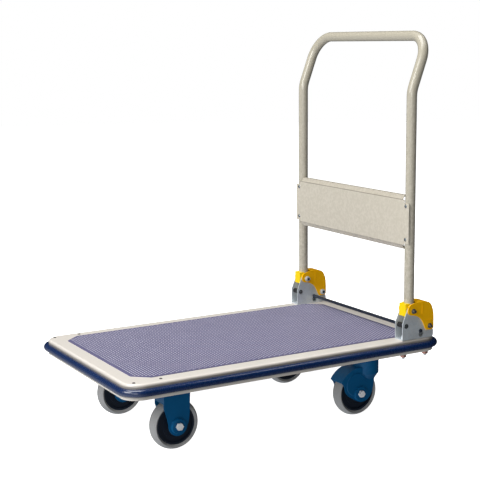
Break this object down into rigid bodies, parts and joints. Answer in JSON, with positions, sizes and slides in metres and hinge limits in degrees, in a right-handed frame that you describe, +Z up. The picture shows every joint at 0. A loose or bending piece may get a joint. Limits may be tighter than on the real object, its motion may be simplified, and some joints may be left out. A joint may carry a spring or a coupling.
{
  "type": "folding platform cart",
  "caption": "Low steel platform cart on fixed and swivelling castors, with a padded deck, a wrap-round bumper and a hoop handle that folds down flat over the deck.",
  "frame": {"origin": "on the floor under the middle of the deck", "axes": "+X along the deck towards the handle end, +Y across the deck, +Z up"},
  "size_m": [0.74, 0.45, 0.8009],
  "materials": {
    "cream_paint": "warm cream baked enamel, smooth semi-gloss",
    "pad_vinyl": "blue-grey vinyl sheet with a fine moulded dimple pattern",
    "navy_vinyl": "dark navy soft vinyl, glossy",
    "dark_rivet": "darkened rivet heads",
    "zinc_steel": "bright zinc plate",
    "yellow_zinc": "copper-toned plated nuts",
    "black_nylon": "black moulded nylon",
    "yellow_plastic": "bright yellow moulded plastic, satin",
    "lock_steel": "dark plated steel rod and wire",
    "bronze": "plain bronze bush",
    "blue_paint": "deep blue gloss paint",
    "grey_tyre": "grey non-marking rubber",
    "hub_nylon": "dark moulded nylon wheel centre",
    "bright_steel": "bright plated steel"
  },
  "bodies": {
    "chassis": {"deck_pan": "cream_paint", "deck_pad": "pad_vinyl", "bumper": "navy_vinyl", "deck_rivets": "dark_rivet", "side_rails": "cream_paint", "cross_channels": "cream_paint", "middle_stiffener": "cream_paint", "hinge_bracket_l": "zinc_steel", "hinge_bracket_r": "zinc_steel", "hinge_bolts": "zinc_steel", "hinge_nuts": "yellow_zinc", "stop_pins": "zinc_steel", "stop_sleeves": "black_nylon", "pivot_bolts": "zinc_steel", "pivot_nuts": "zinc_steel", "hood_bolts": "zinc_steel", "hood_nuts": "zinc_steel", "hood_spacers": "zinc_steel", "hood_l": "yellow_plastic", "hood_r": "yellow_plastic", "lock_springs": "lock_steel", "fixed_fork_l": "blue_paint", "fixed_fork_r": "blue_paint", "fixed_axles": "bright_steel", "fixed_axle_nuts": "bright_steel", "castor_bolts": "zinc_steel", "castor_nuts": "zinc_steel", "swivel_plate_l": "blue_paint", "swivel_plate_r": "blue_paint", "swivel_balls_l": "bright_steel", "swivel_balls_r": "bright_steel", "king_pin_l": "bright_steel", "king_pin_r": "bright_steel"},
    "handle": {"handle_tube": "cream_paint", "tail_plugs": "black_nylon", "pivot_bushes": "bronze", "finger_guards": "yellow_plastic", "cross_panel": "cream_paint", "panel_rivets": "cream_paint"},
    "lock": {"lock_bar": "lock_steel", "lock_clips": "lock_steel"},
    "fork_l": {"swivel_fork_l": "blue_paint", "axle_swv_l": "bright_steel", "axle_nut_swv_l": "bright_steel"},
    "fork_r": {"swivel_fork_r": "blue_paint", "axle_swv_r": "bright_steel", "axle_nut_swv_r": "bright_steel"},
    "wheel_swv_l": {"tyre_swv_l": "grey_tyre", "hub_swv_l": "hub_nylon", "sleeve_swv_l": "bright_steel"},
    "wheel_swv_r": {"tyre_swv_r": "grey_tyre", "hub_swv_r": "hub_nylon", "sleeve_swv_r": "bright_steel"},
    "wheel_fix_l": {"tyre_fix_l": "grey_tyre", "hub_fix_l": "hub_nylon", "sleeve_fix_l": "bright_steel"},
    "wheel_fix_r": {"tyre_fix_r": "grey_tyre", "hub_fix_r": "hub_nylon", "sleeve_fix_r": "bright_steel"}
  },
  "joints": [
    {"name": "handle_fold", "type": "hinge", "parent": "chassis", "child": "handle", "pos_m": [0.2885, 0, 0.2275], "axis": [0, -1, 0], "range_deg": [0, 90]},
    {"name": "lock_press", "type": "slide", "parent": "chassis", "child": "lock", "axis": [0.2588, 0, -0.9659], "range_m": [0, 0.008], "stiffness_N_per_m": 1500, "springref_m": -0.004, "deforming": ["lock_springs"]},
    {"name": "swivel_l", "type": "hinge", "parent": "chassis", "child": "fork_l", "pos_m": [0.224, -0.137, 0.124], "axis": [0, 0, 1], "continuous": true},
    {"name": "swivel_r", "type": "hinge", "parent": "chassis", "child": "fork_r", "pos_m": [0.224, 0.137, 0.124], "axis": [0, 0, 1], "continuous": true},
    {"name": "roll_swivel_l", "type": "hinge", "parent": "fork_l", "child": "wheel_swv_l", "pos_m": [0.197, -0.137, 0.0508], "axis": [0, 1, 0], "continuous": true},
    {"name": "roll_swivel_r", "type": "hinge", "parent": "fork_r", "child": "wheel_swv_r", "pos_m": [0.197, 0.137, 0.0508], "axis": [0, 1, 0], "continuous": true},
    {"name": "roll_fixed_l", "type": "hinge", "parent": "chassis", "child": "wheel_fix_l", "pos_m": [-0.226, -0.127, 0.0508], "axis": [0, 1, 0], "continuous": true},
    {"name": "roll_fixed_r", "type": "hinge", "parent": "chassis", "child": "wheel_fix_r", "pos_m": [-0.226, 0.127, 0.0508], "axis": [0, 1, 0], "continuous": true}
  ]
}
